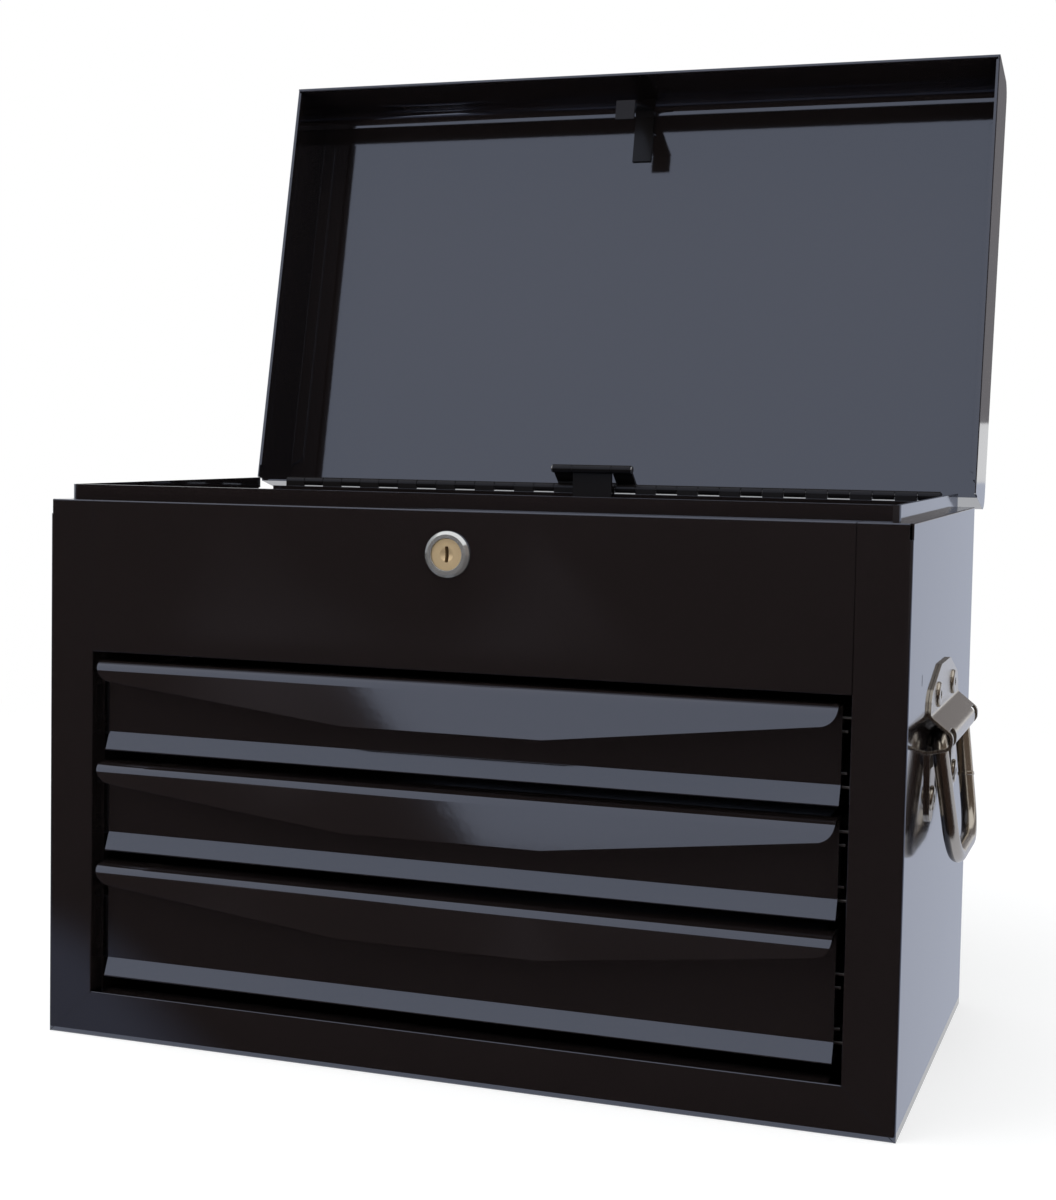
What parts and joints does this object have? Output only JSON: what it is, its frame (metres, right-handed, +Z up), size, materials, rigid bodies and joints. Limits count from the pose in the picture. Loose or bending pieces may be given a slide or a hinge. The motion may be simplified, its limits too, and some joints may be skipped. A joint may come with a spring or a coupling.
{
  "type": "machinist tool chest",
  "caption": "Black steel machinist tool chest, lid open on a piano hinge over a fixed top tray, with drawers on ball slides, a cam lock and hinged side handles.",
  "frame": {"origin": "centre of the chest's underside, where it stands on a bench", "axes": "+X to the chest's right as seen from the front, +Y to the back, +Z up; the lid's hinge runs along X"},
  "size_m": [0.376, 0.2931, 0.4305],
  "materials": {
    "black_paint": "glossy black paint with a slight brown tint",
    "zinc_steel": "bright zinc-plated strip",
    "nickel": "polished nickel plate",
    "lock_chrome": "polished chrome",
    "brass": "nickel-washed brass",
    "dark_steel": "semi-gloss brown-black paint"
  },
  "bodies": {
    "chest": {"body_shell": "black_paint", "base_pan": "black_paint", "front_fascia": "black_paint", "top_tray": "black_paint", "hinge_body_leaf": "black_paint", "hinge_pin": "zinc_steel", "lock_body": "lock_chrome", "lock_nut": "zinc_steel", "bar_guide_upper": "dark_steel", "bar_guide_lower": "dark_steel", "runner_panel_left": "black_paint", "handle_bracket_left": "nickel", "handle_rivets_left": "nickel", "slide_outer_left_1": "zinc_steel", "slide_outer_left_2": "zinc_steel", "slide_outer_left_3": "zinc_steel", "runner_panel_right": "black_paint", "handle_bracket_right": "nickel", "handle_rivets_right": "nickel", "slide_outer_right_1": "zinc_steel", "slide_outer_right_2": "zinc_steel", "slide_outer_right_3": "zinc_steel"},
    "lid": {"lid_wrap": "black_paint", "lid_cap_left": "black_paint", "lid_cap_right": "black_paint", "hinge_lid_leaf": "black_paint", "lid_catch": "dark_steel", "bar_bracket": "dark_steel", "bar_pin": "zinc_steel"},
    "lock_bar": {"lock_bar": "dark_steel", "lock_hook_1": "dark_steel", "lock_hook_2": "dark_steel", "lock_hook_3": "dark_steel"},
    "lock_plug": {"lock_plug": "brass", "lock_cam": "zinc_steel", "cam_screw": "zinc_steel"},
    "bail_left": {"bail_left": "nickel"},
    "bail_right": {"bail_right": "nickel"},
    "drawer_1": {"drawer_front_1": "black_paint", "drawer_box_1": "black_paint", "drawer_catch_1": "dark_steel", "slide_inner_left_1": "zinc_steel", "slide_inner_right_1": "zinc_steel"},
    "ball_cages_1": {"ball_cage_left_1": "zinc_steel", "ball_cage_right_1": "zinc_steel"},
    "drawer_2": {"drawer_front_2": "black_paint", "drawer_box_2": "black_paint", "drawer_catch_2": "dark_steel", "slide_inner_left_2": "zinc_steel", "slide_inner_right_2": "zinc_steel"},
    "ball_cages_2": {"ball_cage_left_2": "zinc_steel", "ball_cage_right_2": "zinc_steel"},
    "drawer_3": {"drawer_front_3": "black_paint", "drawer_box_3": "black_paint", "drawer_catch_3": "dark_steel", "slide_inner_left_3": "zinc_steel", "slide_inner_right_3": "zinc_steel"},
    "ball_cages_3": {"ball_cage_left_3": "zinc_steel", "ball_cage_right_3": "zinc_steel"}
  },
  "joints": [
    {"name": "lid_hinge", "type": "hinge", "parent": "chest", "child": "lid", "pos_m": [0, 0.1033, 0.2284], "axis": [1, 0, 0], "range_deg": [0, 103]},
    {"name": "bar_hinge", "type": "hinge", "parent": "lid", "child": "lock_bar", "pos_m": [0, 0.09699, 0.2375], "axis": [1, 0, 0], "range_deg": [-103, 0]},
    {"name": "drawer_1_slide", "type": "slide", "parent": "chest", "child": "drawer_1", "axis": [0, -1, 0], "range_m": [0, 0.13]},
    {"name": "ball_cages_1_slide", "type": "slide", "parent": "chest", "child": "ball_cages_1", "axis": [0, -1, 0], "range_m": [0, 0.065]},
    {"name": "drawer_2_slide", "type": "slide", "parent": "chest", "child": "drawer_2", "axis": [0, -1, 0], "range_m": [0, 0.13]},
    {"name": "ball_cages_2_slide", "type": "slide", "parent": "chest", "child": "ball_cages_2", "axis": [0, -1, 0], "range_m": [0, 0.065]},
    {"name": "drawer_3_slide", "type": "slide", "parent": "chest", "child": "drawer_3", "axis": [0, -1, 0], "range_m": [0, 0.13]},
    {"name": "ball_cages_3_slide", "type": "slide", "parent": "chest", "child": "ball_cages_3", "axis": [0, -1, 0], "range_m": [0, 0.065]},
    {"name": "lock_turn", "type": "hinge", "parent": "chest", "child": "lock_plug", "pos_m": [0, -0.1, 0.207], "axis": [0, -1, 0], "range_deg": [0, 90]},
    {"name": "bail_right_hinge", "type": "hinge", "parent": "chest", "child": "bail_right", "pos_m": [0.17845, 0, 0.1395], "axis": [0, -1, 0], "range_deg": [0, 80]},
    {"name": "bail_left_hinge", "type": "hinge", "parent": "chest", "child": "bail_left", "pos_m": [-0.17845, 0, 0.1395], "axis": [0, 1, 0], "range_deg": [0, 80]}
  ],
  "couplings": [
    {"joint": "bar_hinge", "follows": "lid_hinge", "ratio": -1},
    {"joint": "ball_cages_1_slide", "follows": "drawer_1_slide", "ratio": 0.5},
    {"joint": "ball_cages_2_slide", "follows": "drawer_2_slide", "ratio": 0.5},
    {"joint": "ball_cages_3_slide", "follows": "drawer_3_slide", "ratio": 0.5}
  ]
}
